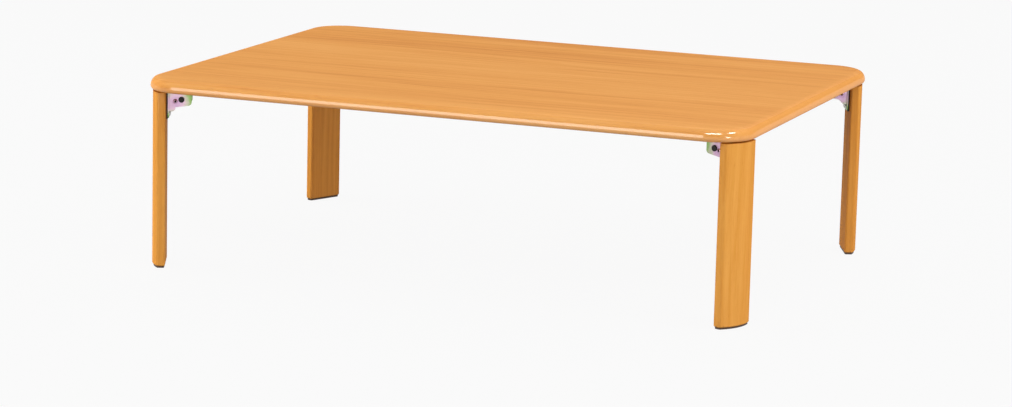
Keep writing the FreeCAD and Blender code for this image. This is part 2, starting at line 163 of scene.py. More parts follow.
def skin(name, grids, sharp=CREASE):
    """Makes one mesh object of closed grids (skins x rows x columns x 3), with the faces turned outwards."""
    skins, rows, columns, _ = grids.shape
    rings = grids[:, 1:-1].reshape(skins, -1, 3)
    points = np.concatenate((rings, grids[:, 0, :1], grids[:, -1, :1]), axis=1)
    quads, fans = grid_faces(rows, columns)
    triangles = np.concatenate((quads[:, :3], quads[:, (0, 2, 3)], fans))
    a, b, c = (points[0, triangles[:, k]] for k in range(3))
    if np.einsum("ij,ij->i", a - points[0, 0], np.cross(b - a, c - a)).sum() < 0:
        quads, fans = quads[:, ::-1], fans[:, ::-1]
    step = np.arange(skins)[:, None, None] * points.shape[1]
    faces = (quads + step).reshape(-1, 4).tolist() + (fans + step).reshape(-1, 3).tolist()
    mesh = bpy.data.meshes.new(name)
    mesh.from_pydata(points.reshape(-1, 3), [], faces)
    mesh.shade_smooth()
    mesh.set_sharp_from_angle(angle=sharp)
    piece = bpy.data.objects.new(name, mesh)
    bpy.context.scene.collection.objects.link(piece)
    return piece


def stand_in_for(piece, node, body):
    """Lets a new piece move with a body and stand for a CAD part, which it hides."""
    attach(piece, body)
    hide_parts(node)
    print(piece.name, len(piece.data.polygons), "faces, rides on", body)


# %% [markdown]
# ## Rivets, spring posts and pins
#
# A rivet is a short shank with a domed head outside the ear and a flat upset end inside. The post that carries
# the spring has a broad low head at each end, and the pin in the leg's bracket is a plain rod with eased ends.
# All of them are turned shapes: a profile of distance along the axle and radius, carried round a circle.

# %% Lathe
AROUND = 40
EASE = np.linspace(0, math.pi / 2, 6)


def lathe(profile, centre):
    """Carries rows (along, radius) round the axle: out = radius x cos and up = radius x sin of the angle."""
    angle = np.arange(AROUND) / AROUND * 2 * math.pi
    along, radius = profile[:, :1], profile[:, 1:]
    out = centre[0] + radius * np.cos(angle)
    upward = centre[1] + radius * np.sin(angle)
    return np.stack((out, np.broadcast_to(along, out.shape), upward), axis=-1)


def eased_rim(along, radius, ease):
    """Rounds a rim that faces along: a quarter circle from the flat end face to the side."""
    return np.column_stack((along - ease * (1 - np.cos(EASE)), radius - ease + ease * np.sin(EASE)))


print("lathe:", AROUND, "columns round a piece,", EASE.size, "rows on an eased rim")

# %% [markdown]
# The rivets come first. The CAD part holds the pair, so its points give the dome's top, the ear's outer face and
# the upset end. A dome is a quarter ellipse, which looks softer in the light than the flat crown of the solid,
# and the rivet is hollow-ended, so a small dimple sits in the middle of each head.

# %% Rivets
RIVET_SHANK = 0.0030
RIVET_HEAD_HEIGHT = 0.0020
RIVET_TAIL_HEIGHT, RIVET_TAIL_EASE = 0.0012, 0.0005
DIMPLE_RADIUS, DIMPLE_DEPTH = 0.0018, 0.0014
DIMPLE_FLOOR, DIMPLE_WALL = 0.6 * DIMPLE_RADIUS, 0.85 * DIMPLE_RADIUS
DIMPLE_WALL_RISE = 0.0004
DOME_ROWS = 8
CLOSE = 1e-5


def rivet_profile(top, head_radius, tail_radius, inner):
    """From outside in: a dimple, a quarter ellipse as the head, the shank, and a disc with an eased rim."""
    bottom, seat, collar = top - DIMPLE_DEPTH, top - RIVET_HEAD_HEIGHT, inner + RIVET_TAIL_HEIGHT
    dimple = [(bottom, 0.0), (bottom, DIMPLE_FLOOR), (bottom + DIMPLE_WALL_RISE, DIMPLE_WALL)]
    swing = np.linspace(math.asin(DIMPLE_RADIUS / head_radius), math.pi / 2, DOME_ROWS)
    dome = np.column_stack((top - RIVET_HEAD_HEIGHT * (1 - np.cos(swing)), head_radius * np.sin(swing)))
    shank = [(seat, RIVET_SHANK), (collar, RIVET_SHANK), (collar, tail_radius)]
    tail = (eased_rim(0.0, tail_radius, RIVET_TAIL_EASE) * (-1, 1) + (inner, 0))[::-1]
    return np.concatenate((dimple, dome, shank, tail, [(inner, 0.0)]))


for corner in CORNERS:
    _, along, upward = corner_points("pivot_rivets", corner).T
    head_radius = upward[along > along.max() - RIVET_HEAD_HEIGHT - CLOSE].max()
    profile = rivet_profile(along.max(), head_radius, upward.max(), np.abs(along).min())
    pair = np.stack((lathe(profile, (0, 0)), lathe(profile * (-1, 1), (0, 0))[:, ::-1]))
    piece = skin("rivet_pair_" + corner, to_table(corner, pair))
    stand_in_for(piece, "pivot_rivets_" + corner, "top")

# %% [markdown]
# The post and the pin lie parallel to the axle. Their CAD boxes give length, middle and thickness, and an eased
# rim catches a thin line of light that a knife-sharp solid would miss.

# %% Posts and pins
POST_HEAD_HEIGHT = 0.0020
POST_SHANK = 0.00175
POST_EASE, PIN_EASE = 0.0007, 0.0004


def pin_profile(length, radius):
    """A rod with eased ends: an end rim, the straight side, and the mirrored rim."""
    rim = eased_rim(length / 2, radius, PIN_EASE)
    return np.concatenate(([(length / 2, 0.0)], rim, rim[::-1] * (-1, 1), [(-length / 2, 0.0)]))


def post_profile(length, head_radius):
    """A slim rod with a broad low head at both ends, each head with an eased outer rim."""
    end, seat = length / 2, length / 2 - POST_HEAD_HEIGHT
    rim = eased_rim(end, head_radius, POST_EASE)
    half = np.concatenate(([(end, 0.0)], rim, [(seat, head_radius), (seat, POST_SHANK)]))
    return np.concatenate((half, half[::-1] * (-1, 1)))


def turned_piece(name, node, corner, body, profile):
    """Lathes a profile that is as long and as thick as the CAD part's box, round the middle of that box."""
    points = corner_points(node, corner)
    low, high = points.min(axis=0), points.max(axis=0)
    rows = profile(high[1] - low[1], (high[2] - low[2]) / 2)
    grid = lathe(rows, ((low[0] + high[0]) / 2, (low[2] + high[2]) / 2))
    piece = skin(name + "_" + corner, to_table(corner, grid[None]))
    stand_in_for(piece, node + "_" + corner, body)


for corner in CORNERS:
    turned_piece("turned_post", "spring_post", corner, "top", post_profile)
    turned_piece("turned_pin", "spring_pin", corner, "leg_" + corner, pin_profile)

# %% [markdown]
# ## Screws
#
# Each bracket is held by four pan-head screws with a cross recess. A screw could be a lathe shape with a cut-out,
# but the recess can also be part of the grid itself: on rows inside the cross, some columns drop to its floor,
# and the columns at its walls swing so that they follow the arms. A quarter turn has twelve columns, from the
# middle of one arm to the middle of the next. Further down, the same grid winds the thread.

# %% Screw head
SCREW_HEAD = 0.0040
SCREW_HEAD_HEIGHT = 0.0022
CROWN = 0.00025
RECESS_DEPTH, RECESS_RUNOUT = 0.0014, 0.005
RECESS_HUB, RECESS_REACH = 0.0006, 0.0021
ARM_FLOOR, ARM_TOP, ARM_SINE_LIMIT = 0.00042, 0.00058, 0.7
# Rings of the head from its middle to its rim, in millimetres.
HEAD_RADII = np.array((0.0, 0.3, 0.58, 1.0, 1.35, 1.75, 2.05, 2.25, 2.7, 3.1, 3.35)) / 1000
QUARTER, FLOOR_COLUMNS = 12, 2
SCREW_AROUND = 4 * QUARTER


def columns_from_arm():
    """Counts each column within its quarter, and its steps to the middle of the nearest arm."""
    column = np.arange(SCREW_AROUND) % QUARTER
    return column, np.minimum(column, QUARTER - column)


def recess_angles(radius):
    """Columns share the arm's floor, the next lies on the arm's top edge, and the rest reach 45 degrees."""
    column, steps = columns_from_arm()
    diagonal, wall = math.pi / 4, FLOOR_COLUMNS + 1
    with np.errstate(divide="ignore"):
        floor_edge = np.arcsin(np.minimum(ARM_FLOOR / radius, ARM_SINE_LIMIT))
        top_edge = np.arcsin(np.minimum(ARM_TOP / radius, ARM_SINE_LIMIT))
    floor_edge = np.where(radius > RECESS_HUB, floor_edge, diagonal / 3)
    top_edge = np.where(radius > RECESS_HUB, top_edge, diagonal / 2)
    beyond = top_edge + (diagonal - top_edge) * (steps - wall) / (QUARTER / 2 - wall)
    inner = np.where(steps <= FLOOR_COLUMNS, floor_edge * steps / FLOOR_COLUMNS, beyond)
    quarter_start = np.arange(SCREW_AROUND) // QUARTER * (math.pi / 2)
    return quarter_start + np.where(column <= QUARTER / 2, inner, math.pi / 2 - inner)


def head_rows():
    """Top of a pan head: height falls with the square of radius, and inside the cross it drops to the recess."""
    radius = HEAD_RADII[:, None]
    in_arm = columns_from_arm()[1] <= FLOOR_COLUMNS
    inside = (radius < RECESS_HUB) | (in_arm & (radius < RECESS_REACH))
    recess = np.where(inside, RECESS_DEPTH * (1 - radius / RECESS_RUNOUT), 0.0)
    depth = CROWN * (radius / HEAD_RADII[-1]) ** 2 + recess
    angle = recess_angles(radius)
    return depth, radius * np.cos(angle), radius * np.sin(angle)


depth, _, _ = head_rows()
print("screw head:", depth.shape, "points, recess", round(float(depth.max()) * 1000, 2), "mm deep")

# %% [markdown]
# Below the head's rim the radius is a plain function of depth and angle: the rim and the flat seat first, then a
# core with a wave on it that moves forward by one pitch for each turn, and a taper that brings it to a point.

# %% Whole screw
THREAD_CORE, THREAD_CREST = 0.0014, 0.0019
THREAD_PITCH, ROWS_PER_PITCH = 0.0014, 7
PLAIN_SHANK, THREAD_START = 0.0015, 0.0018
TAPER = 0.0035
TRIAL_LENGTH = 0.017


def side_profile():
    """Rows (depth, radius) below the head's top: a rounded rim, the flat seat and a short plain shank."""
    ease = SCREW_HEAD - HEAD_RADII[-1]
    rim = np.column_stack((CROWN + ease * (1 - np.cos(EASE)), HEAD_RADII[-1] + ease * np.sin(EASE)))
    seat = [(SCREW_HEAD_HEIGHT, SCREW_HEAD), (SCREW_HEAD_HEIGHT, THREAD_CREST)]
    return np.concatenate((rim, seat, [(SCREW_HEAD_HEIGHT + PLAIN_SHANK, THREAD_CREST)]))


def screw_grid(length):
    """Rows (across, beside, depth): head and side, then radius = core + wave(depth / pitch - turn), tapered."""
    turn = np.arange(SCREW_AROUND) / SCREW_AROUND
    top, across, beside = head_rows()
    side = side_profile()
    down = np.arange(SCREW_HEAD_HEIGHT + THREAD_START, length, THREAD_PITCH / ROWS_PER_PITCH)[:, None]
    wave = 0.5 + 0.5 * np.cos(2 * math.pi * (down / THREAD_PITCH - turn))
    taper = np.sqrt(np.clip((length - down) / TAPER, 0, 1))
    thread = (THREAD_CORE + (THREAD_CREST - THREAD_CORE) * wave) * taper
    straight = np.broadcast_to(side[:, 1:], (len(side), SCREW_AROUND))
    radius = np.concatenate((straight, thread, np.zeros((1, SCREW_AROUND))))
    lower = np.concatenate((side[:, :1], down, [[length]]))
    angle = 2 * math.pi * turn
    across = np.concatenate((across, radius * np.cos(angle)))
    beside = np.concatenate((beside, radius * np.sin(angle)))
    depth = np.concatenate((top, np.broadcast_to(lower, radius.shape)))
    return np.stack((across, beside, depth), axis=-1)


print("screw grid:", screw_grid(TRIAL_LENGTH).shape)

# %% [markdown]
# The CAD box of a set of four gives their middles, where the head's top lies and how deep the tip reaches. The
# base bracket's screws point up into the board, the leg bracket's screws point out into the leg. No fitter leaves
# four crosses in line, so each screw is turned a step further than the one before.

# %% Screw sets
OUT, ALONG, UP = 0, 1, 2
FIRST_SPIN, NEXT_SPIN = 0.35, 1.1
SCREW_CREASE = math.radians(40)


def screw_set(low, high, pointing):
    """Places four screws in the corners of a set's box: depth along one axis, each turned by its number."""
    across, beside, depth = np.moveaxis(screw_grid(high[pointing] - low[pointing]), -1, 0)
    first_axis, second_axis = (axis for axis in (OUT, ALONG, UP) if axis != pointing)
    ends = low + SCREW_HEAD, high - SCREW_HEAD
    set_of_four = []
    for number, (first, second) in enumerate(((0, 0), (0, 1), (1, 0), (1, 1))):
        spin = FIRST_SPIN + NEXT_SPIN * number
        turned_across = across * math.cos(spin) - beside * math.sin(spin)
        turned_beside = across * math.sin(spin) + beside * math.cos(spin)
        grid = np.empty((*depth.shape, 3))
        grid[..., first_axis] = ends[first][first_axis] + turned_across
        grid[..., second_axis] = ends[second][second_axis] + turned_beside
        grid[..., pointing] = low[pointing] + depth
        set_of_four.append(grid)
    return np.stack(set_of_four)


for corner in CORNERS:
    for node, body, pointing in (("base_screws", "top", UP), ("leg_screws", "leg_" + corner, OUT)):
        points = corner_points(node, corner)
        grids = screw_set(points.min(axis=0), points.max(axis=0), pointing)
        piece = skin("cross_" + node + "_" + corner, to_table(corner, grids), sharp=SCREW_CREASE)
        stand_in_for(piece, node + "_" + corner, body)

# %% [markdown]
# ## Springs
#
# A small tension spring pulls the leg open or shut. Its wire is wound close, turn against turn, and bent into a
# loop at each end: a round one on the post and a long one on the pin. The wire is a circle carried along a path,
# so only the path needs thought. Loops and coil are joined roughly and then smoothed as one array, which bends
# the corners between them as a spring maker's tool would.

# %% Spring path
WIRE = 0.0005
COIL = 0.0025
EYE = 0.00255
OPEN_END = 0.6 * EYE
TURN_ADVANCE = 2.04 * WIRE
LOOP_STEPS, TURN_STEPS, END_STEPS, RUN_STEPS = 60, 36, 30, 12
WIRE_STEP = 0.00025
SMOOTHED = 7
TRIAL_REACH, TRIAL_FAR_REACH = 0.0153, 0.0164


def spring_path(reach, far_reach):
    """Centre line: a loop round the post, a close coil, then a long loop from reach to far_reach for the pin."""
    first, last = EYE + WIRE, reach - EYE - WIRE
    turns = round((last - first) / TURN_ADVANCE)
    loop = np.linspace(-1.25 * math.pi, 0.5 * math.pi, LOOP_STEPS)
    near = np.column_stack((-EYE * np.cos(loop), 0 * loop, EYE * np.sin(loop)))
    wind = np.linspace(0, 2 * math.pi * turns, turns * TURN_STEPS)
    coil = np.column_stack((np.linspace(first, last, wind.size), COIL * np.sin(wind), COIL * np.cos(wind)))
    bend = np.linspace(0.5 * math.pi, -0.5 * math.pi, END_STEPS)
    far = np.column_stack((far_reach + EYE * np.cos(bend), 0 * bend, EYE * np.sin(bend)))
    run = np.linspace(far_reach, reach - OPEN_END, RUN_STEPS)
    return np.concatenate((near, coil, far, np.column_stack((run, 0 * run, np.full(RUN_STEPS, -EYE)))))


def even_steps(path):
    """Walks a path in equal steps: each coordinate is interpolated over the running length."""
    length = np.concatenate(([0], np.cumsum(np.linalg.norm(np.diff(path, axis=0), axis=1))))
    stations = np.linspace(0, length[-1], int(length[-1] / WIRE_STEP))
    return np.column_stack([np.interp(stations, length, path[:, k]) for k in range(3)])


def smoothed(path):
    """Replaces each step by the mean of a few steps round it, and leaves both ends alone."""
    side = SMOOTHED // 2
    soft = sum(path[k:len(path) - 2 * side + k] for k in range(SMOOTHED)) / SMOOTHED
    return np.concatenate((path[:side], soft, path[-side:]))


path = even_steps(spring_path(TRIAL_REACH, TRIAL_FAR_REACH))
print("spring wire:", len(path), "steps,", round(len(path) * WIRE_STEP * 1000), "mm long")

# %% [markdown]
# A tube needs two directions across the wire at every step. The steady way is to carry one direction from step to
# step, but here it is simpler to measure both from one slanted direction that this wire never runs along.

# %% Spring wire
WIRE_AROUND = 10
SLANT = np.array((0.35, 0.9, 0.2))
SPRING_CREASE = math.radians(80)


def tube(path, radius):
    """Carries a circle along a path: point + radius x (cos x side + sin x other), both ends closed to a point."""
    ahead = np.gradient(path, axis=0)
    ahead /= np.linalg.norm(ahead, axis=1, keepdims=True)
    side = np.cross(ahead, SLANT)
    side /= np.linalg.norm(side, axis=1, keepdims=True)
    other = np.cross(ahead, side)
    angle = np.arange(WIRE_AROUND) / WIRE_AROUND * 2 * math.pi
    ring = np.cos(angle)[None, :, None] * side[:, None] + np.sin(angle)[None, :, None] * other[:, None]
    body = path[:, None] + radius * ring
    ends = np.broadcast_to(path[[0, -1], None], (2, WIRE_AROUND, 3))
    return np.concatenate((ends[:1], body, ends[1:]))


def middle(points):
    """The middle of a box round some points."""
    return (points.min(axis=0) + points.max(axis=0)) / 2


for corner in CORNERS:
    post, pin = (middle(corner_points(node, corner)) for node in ("spring_post", "spring_pin"))
    reach = np.linalg.norm(pin - post)
    heading = (pin - post) / reach
    far_reach = np.abs((corner_points("spring", corner) - post) @ heading).max() - EYE - WIRE
    wire = tube(smoothed(even_steps(spring_path(reach, far_reach))), WIRE)
    directions = np.stack((heading, (0, 1, 0), np.cross(heading, (0, 1, 0))))
    grid = to_table(corner, post + wire @ directions)
    piece = skin("coil_spring_" + corner, grid[None], sharp=SPRING_CREASE)
    stand_in_for(piece, "spring_" + corner, "spring_" + corner)

# %% [markdown]
# ## A short way to write materials
#
# A Blender material is a small drawing of boxes and wires. Written out in full, every box takes four lines, so
# this helper adds one, sets its options and fills its sockets in a single call. Colours are written as a paint
# chart gives them, from 0 to 255, and turned into the linear numbers that Blender works with.

# %% Material helpers
def paint(red, green, blue):
    """Turns a chart colour into linear light: small values divide by 12.92, the rest follow a 2.4 power curve."""
    chart = np.array((red, green, blue)) / 255
    linear = np.where(chart <= 0.04045, chart / 12.92, ((chart + 0.055) / 1.055) ** 2.4)
    return (*linear.tolist(), 1.0)


def add_node(tree, kind, sockets, **options):
    """Adds a node, sets its options, and fills sockets: an output is wired in, anything else is set."""
    node = tree.nodes.new("ShaderNode" + kind)
    for option, value in options.items():
        setattr(node, option, value)
    for socket, value in sockets.items():
        if isinstance(value, bpy.types.NodeSocket):
            tree.links.new(value, node.inputs[socket])
        else:
            node.inputs[socket].default_value = value
    return node


def new_finish(name):
    """Starts a material and gives its tree, its Principled shader and the Object coordinates."""
    material = bpy.data.materials.new(name)
    material.use_nodes = True
    tree = material.node_tree
    shader = next(node for node in tree.nodes if node.type == "BSDF_PRINCIPLED")
    return material, tree, shader, add_node(tree, "TexCoord", {}).outputs["Object"]


def wear(finish, names):
    """Gives a finish to CAD parts or pieces by name."""
    for name in names:
        mesh = bpy.data.objects[name].data
        mesh.materials.clear()
        mesh.materials.append(finish)
    print(finish.name, "on", len(names), "parts")


def at_corners(*kinds):
    """Names of the parts or pieces of some kinds at all four corners."""
    return [kind + "_" + corner for kind in kinds for corner in CORNERS]


print("128 on the chart is", round(paint(128, 128, 128)[0], 3), "in linear light")

# %% [markdown]
# Four more helpers stand for the boxes that the finishes below share: a noise, a sum, a change of range and a
# colour ramp. Most of a noise lies in the middle of its range, so those limits get a name.

# %% Node helpers
NOISE_RANGE = (0.3, 0.7)


def noise(tree, place, scale, detail, roughness=0.5):
    """A cloudy number between 0 and 1, with 'scale' cells in a metre."""
    settings = {"Vector": place, "Scale": scale, "Detail": detail, "Roughness": roughness}
    return add_node(tree, "TexNoise", settings).outputs["Fac"]


def weigh(tree, kind, first, second):
    """One sum or product of two numbers or wires."""
    return add_node(tree, "Math", {0: first, 1: second}, operation=kind).outputs["Value"]


def spread(tree, value, low, high, to_low, to_high):
    """Stretches the range from low to high over to_low to to_high."""
    sockets = {"Value": value, "From Min": low, "From Max": high, "To Min": to_low, "To Max": to_high}
    return add_node(tree, "MapRange", sockets).outputs["Result"]


def blend_colours(tree, stops, factor):
    """A colour ramp: stops are (position, colour), and the factor picks between them."""
    ramp = add_node(tree, "ValToRGB", {"Fac": factor})
    marks = ramp.color_ramp.elements
    while len(marks) < len(stops):
        marks.new(0.5)
    for mark, (position, colour) in zip(marks, stops):
        mark.position = position
        mark.color = colour
    return ramp.outputs["Color"]


# %% [markdown]
# ## Honey-coloured wood
#
# The board and legs are a pale, even hardwood under a warm stain and a clear lacquer. Seen close, such wood is
# fine fibre, short dark pores and slow bands of lighter and darker growth, all stretched along the grain. Each is
# a noise whose coordinates are squeezed along the grain, so the same drawing gives wood at every scale. A slow
# drift bends the fibres a little, because no tree grows quite straight.

# %% Grain
DRIFT_ALONG, DRIFT_ACROSS, DRIFT_SWAY = 1.6, 3.0, 0.030
MIDDLE = (0.5, 0.5, 0.5)


def stretched(tree, place, grain, along, across):
    """Squeezes coordinates along one axis: 'along' and 'across' are how many cells lie in a metre each way."""
    scale = [across] * 3
    scale[grain] = along
    return add_node(tree, "Mapping", {"Vector": place, "Scale": scale}).outputs["Vector"]


def grain_noise(tree, place, grain, along, across, detail, roughness=0.55):
    """Noise stretched along the grain."""
    return noise(tree, stretched(tree, place, grain, along, across), 1.0, detail, roughness)


def drifted(tree, place, grain):
    """Slides the fibres sideways by some millimetres, slowly along the grain."""
    mapped = stretched(tree, place, grain, DRIFT_ALONG, DRIFT_ACROSS)
    slow = add_node(tree, "TexNoise", {"Vector": mapped, "Scale": 1.0, "Detail": 1.0}).outputs["Color"]
    centred = add_node(tree, "VectorMath", {0: slow, 1: MIDDLE}, operation="SUBTRACT").outputs["Vector"]
    sway = add_node(tree, "VectorMath", {0: centred, "Scale": DRIFT_SWAY}, operation="SCALE").outputs["Vector"]
    return add_node(tree, "VectorMath", {0: place, 1: sway}, operation="ADD").outputs["Vector"]


# %% [markdown]
# The board isn't finished alike all over. Its flat top is rubbed down to a satin sheen, its rounded edge keeps
# the full gloss, and its underside is only sealed. At both ends the grain is cut across, and the stain soaks in
# evenly there, so the bands fade. Height and distance from the middle tell these places apart.

# %% Board finish
HALF_LENGTH = cad_box[1][0]
END_GRAIN = (HALF_LENGTH - 0.019, HALF_LENGTH - 0.003)
UNDERSIDE = (TOP_HEIGHT - 0.0218, TOP_HEIGHT - 0.0200)
FLAT_TOP = (TOP_HEIGHT - 0.0035, TOP_HEIGHT - 0.0005)
END_CONTRAST = 0.25
UNDERSIDE_LACQUER = 0.02
SATIN_LACQUER, SATIN_ROUGHNESS = 0.32, 0.60
GLOSS_ROUGHNESS = 0.08


def even_ends(tree, tone, x):
    """Draws the tone towards its middle value, 0.5, near both ends of the board."""
    contrast = spread(tree, weigh(tree, "ABSOLUTE", x, 0.0), *END_GRAIN, 1.0, END_CONTRAST)
    centred = weigh(tree, "MULTIPLY", weigh(tree, "SUBTRACT", tone, 0.5), contrast)
    return weigh(tree, "ADD", centred, 0.5)


def board_lacquer(tree, shader, height, lacquer):
    """Lacquer thickens from the underside to the edge, and is a little thinner and rougher on the flat top."""
    sealed = spread(tree, height, *UNDERSIDE, UNDERSIDE_LACQUER, lacquer)
    satin = spread(tree, height, *FLAT_TOP, 0.0, lacquer - SATIN_LACQUER)
    tree.links.new(weigh(tree, "SUBTRACT", sealed, satin), shader.inputs["Coat Weight"])
    rubbed = spread(tree, height, *FLAT_TOP, GLOSS_ROUGHNESS, SATIN_ROUGHNESS)
    tree.links.new(rubbed, shader.inputs["Coat Roughness"])


print("satin above", round(FLAT_TOP[0], 4), "m, even grain beyond", round(END_GRAIN[0], 4), "m")

# %% [markdown]
# Bands, streaks and fibres are added up, and the sum picks a tone between three. Pores darken that tone and dent
# the lacquer. All the gloss comes from that thin clear coat, so the wood itself has none.

# %% Wood
ALONG_BOARD, ALONG_LEG = 0, 2
# Cells in a metre along and across the grain, then the noise's detail and, for streaks, its roughness.
BANDS, STREAKS = (0.8, 11.0, 2.0), (2.6, 130.0, 4.0, 0.6)
FIBRES, SPECKS = (14.0, 800.0, 3.0), (70.0, 1500.0, 2.0)
BAND_SHARE, STREAK_SHARE, FIBRE_SHARE = 0.35, 0.45, 0.20
PORE_RANGE, PORE_DARKNESS = (0.60, 0.74), 0.28
TONE_STOPS = (0.34, 0.50, 0.66)
FIBRE_LIFT = 0.5
WOOD_ROUGHNESS = (0.30, 0.40)
LACQUER_IOR = 2.4
BOARD_LACQUER, LEG_LACQUER = 0.36, 0.07
BOARD_TONES = (paint(215, 136, 56), paint(233, 159, 76), paint(242, 174, 94))
LEG_TONES = (paint(206, 129, 46), paint(225, 152, 62), paint(236, 168, 80))


def honey_wood(name, grain, tones, lacquer, board=False):
    """Weighed noises pick a tone, pores darken it, fibres and pores lift the surface, and lacquer covers it."""
    material, tree, shader, spot = new_finish(name)
    place = drifted(tree, spot, grain)
    bands, streaks, fibres, specks = (
        grain_noise(tree, place, grain, *kind) for kind in (BANDS, STREAKS, FIBRES, SPECKS))
    pores = spread(tree, specks, *PORE_RANGE, 0.0, 1.0)
    weighed_bands = weigh(tree, "MULTIPLY", bands, BAND_SHARE)
    mixed = weigh(tree, "ADD", weighed_bands, weigh(tree, "MULTIPLY", streaks, STREAK_SHARE))
    mixed = weigh(tree, "ADD", mixed, weigh(tree, "MULTIPLY", fibres, FIBRE_SHARE))
    shader.inputs["Specular IOR Level"].default_value = 0.0
    shader.inputs["Coat IOR"].default_value = LACQUER_IOR
    shader.inputs["Coat Weight"].default_value = lacquer
    shader.inputs["Coat Roughness"].default_value = GLOSS_ROUGHNESS
    if board:
        parts = add_node(tree, "SeparateXYZ", {"Vector": spot}).outputs
        mixed = even_ends(tree, mixed, parts["X"])
        board_lacquer(tree, shader, parts["Z"], lacquer)
    tone = blend_colours(tree, tuple(zip(TONE_STOPS, tones)), mixed)
    sockets = {"Fac": weigh(tree, "MULTIPLY", pores, PORE_DARKNESS), "Color1": tone, "Color2": tones[0]}
    pored = add_node(tree, "MixRGB", sockets, blend_type="MULTIPLY")
    lift = weigh(tree, "SUBTRACT", weigh(tree, "MULTIPLY", fibres, FIBRE_LIFT), pores)
    bump = add_node(tree, "Bump", {"Height": lift, "Strength": 0.12, "Distance": 0.0004})
    tree.links.new(pored.outputs["Color"], shader.inputs["Base Color"])
    tree.links.new(spread(tree, streaks, *NOISE_RANGE, *WOOD_ROUGHNESS), shader.inputs["Roughness"])
    tree.links.new(bump.outputs["Normal"], shader.inputs["Normal"])
    return material


board_wood = honey_wood("honey_board", ALONG_BOARD, BOARD_TONES, BOARD_LACQUER, board=True)
leg_wood = honey_wood("honey_legs", ALONG_LEG, LEG_TONES, LEG_LACQUER)
wear(board_wood, ["table_top"])
wear(leg_wood, at_corners("leg"))

# %% [markdown]
# ## The dark pad and the plastic feet
#
# A thin black pad lies between each leg and its bracket, partly painted shade of the gap there and partly the
# plate's dark edge, and a dark brown plastic pad protects the floor.
# Both are matt and slightly uneven from moulding. A little mottling in colour and a fine pebble in the surface
# keep them from looking like flat paint.

# %% Pads
DARK_STOP, LIGHT_STOP = 0.35, 0.65
MOULD_VARIATION = 0.12


def moulded(name, dark, light, pebble, roughness):
    """Mottled colour from a soft noise, and a fine pebbled surface from a second one."""
    material, tree, shader, place = new_finish(name)
    mottle = noise(tree, place, scale=120.0, detail=4.0)
    cells = add_node(tree, "TexVoronoi", {"Vector": place, "Scale": pebble}, feature="SMOOTH_F1")
    bump = add_node(
        tree, "Bump", {"Height": cells.outputs["Distance"], "Strength": 0.35, "Distance": 0.0002})
    tint = blend_colours(tree, ((DARK_STOP, dark), (LIGHT_STOP, light)), mottle)
    uneven = spread(tree, mottle, *NOISE_RANGE, roughness, roughness + MOULD_VARIATION)
    tree.links.new(tint, shader.inputs["Base Color"])
    tree.links.new(uneven, shader.inputs["Roughness"])
    tree.links.new(bump.outputs["Normal"], shader.inputs["Normal"])
    return material


plastic = moulded("foot_plastic", paint(58, 38, 24), paint(76, 52, 34), pebble=1400.0, roughness=0.50)
# The pad's near-black colour is painted shade for the gap between leg and bracket, together with the plate's dark
# edge.
shade_pad = moulded("backing_shade_pad", paint(16, 15, 14), paint(30, 28, 26), pebble=2200.0, roughness=0.62)
wear(plastic, at_corners("foot_pad"))
wear(shade_pad, at_corners("backing_pad"))

# %% [markdown]
# ## Plated brackets
#
# The brackets are pressed from sheet steel and plated with zinc. The passive film on zinc shines in thin-film
# colours, pink and violet in one place, green and straw yellow in another. Here the tint follows the distance
# from the axle, shifted by a soft noise, so each corner needs a Mapping node that moves the pattern to its own
# axle. A product then squeezes the direction along the axle to nothing, so the distance is measured round it.

# %% Plating
FILM_FROM, FILM_TO, FILM_SHIFT = 0.004, 0.030, 0.16
PINK, ROSE, STRAW = paint(192, 158, 190), paint(204, 174, 194), paint(188, 186, 168)
LEAF, MOSS = paint(142, 172, 108), paint(126, 160, 94)
FILM = ((0.05, PINK), (0.35, ROSE), (0.55, STRAW), (0.78, LEAF), (1.0, MOSS))
PLATED_ROUGHNESS = (0.29, 0.36)
ACROSS_AXLE = (1.0, 0.0, 1.0)


def from_axle(tree, place, corner):
    """Distance from a corner's axle line: the length of the place in axle directions, without the along part."""
    axle, (out, _, _) = corner_axes(corner)
    turned = {"Vector": place, "Location": axle, "Rotation": (0, 0, math.atan2(out[1], out[0]))}
    local = add_node(tree, "Mapping", turned, vector_type="TEXTURE").outputs["Vector"]
    flat = add_node(tree, "VectorMath", {0: local, 1: ACROSS_AXLE}, operation="MULTIPLY").outputs["Vector"]
    return add_node(tree, "VectorMath", {0: flat}, operation="LENGTH").outputs["Value"]


def plated(corner):
    """Tint = a ramp over (distance from the axle + noise), and a fine crystalline grain in roughness and bump."""
    material, tree, shader, place = new_finish("plated_steel_" + corner)
    cloud = noise(tree, place, scale=70.0, detail=2.0)
    reach = spread(tree, from_axle(tree, place, corner), FILM_FROM, FILM_TO, 0.0, 1.0)
    shift = weigh(tree, "ADD", reach, spread(tree, cloud, *NOISE_RANGE, -FILM_SHIFT, FILM_SHIFT))
    crystals = add_node(tree, "TexVoronoi", {"Vector": place, "Scale": 900.0}).outputs["Color"]
    grain = add_node(tree, "SeparateXYZ", {"Vector": crystals}).outputs["X"]
    ripple = noise(tree, place, scale=900.0, detail=2.0)
    bump = add_node(tree, "Bump", {"Height": ripple, "Strength": 0.12, "Distance": 0.0001})
    tree.links.new(blend_colours(tree, FILM, shift), shader.inputs["Base Color"])
    tree.links.new(spread(tree, grain, 0.0, 1.0, *PLATED_ROUGHNESS), shader.inputs["Roughness"])
    tree.links.new(bump.outputs["Normal"], shader.inputs["Normal"])
    shader.inputs["Metallic"].default_value = 0.9
    return material


for corner in CORNERS:
    wear(plated(corner), ["base_bracket_" + corner, "leg_bracket_" + corner])

# %% [markdown]
# ## Small steel
#
# Screws are bright zinc, posts and pins are blackened, and springs are hard-drawn wire with a thin film of oil.
# All three are metal with a cloudy colour and a roughness that changes over a millimetre or so, as handling and
# tumbling leave it.

# %% Small steel
STEEL_VARIATION = 0.15


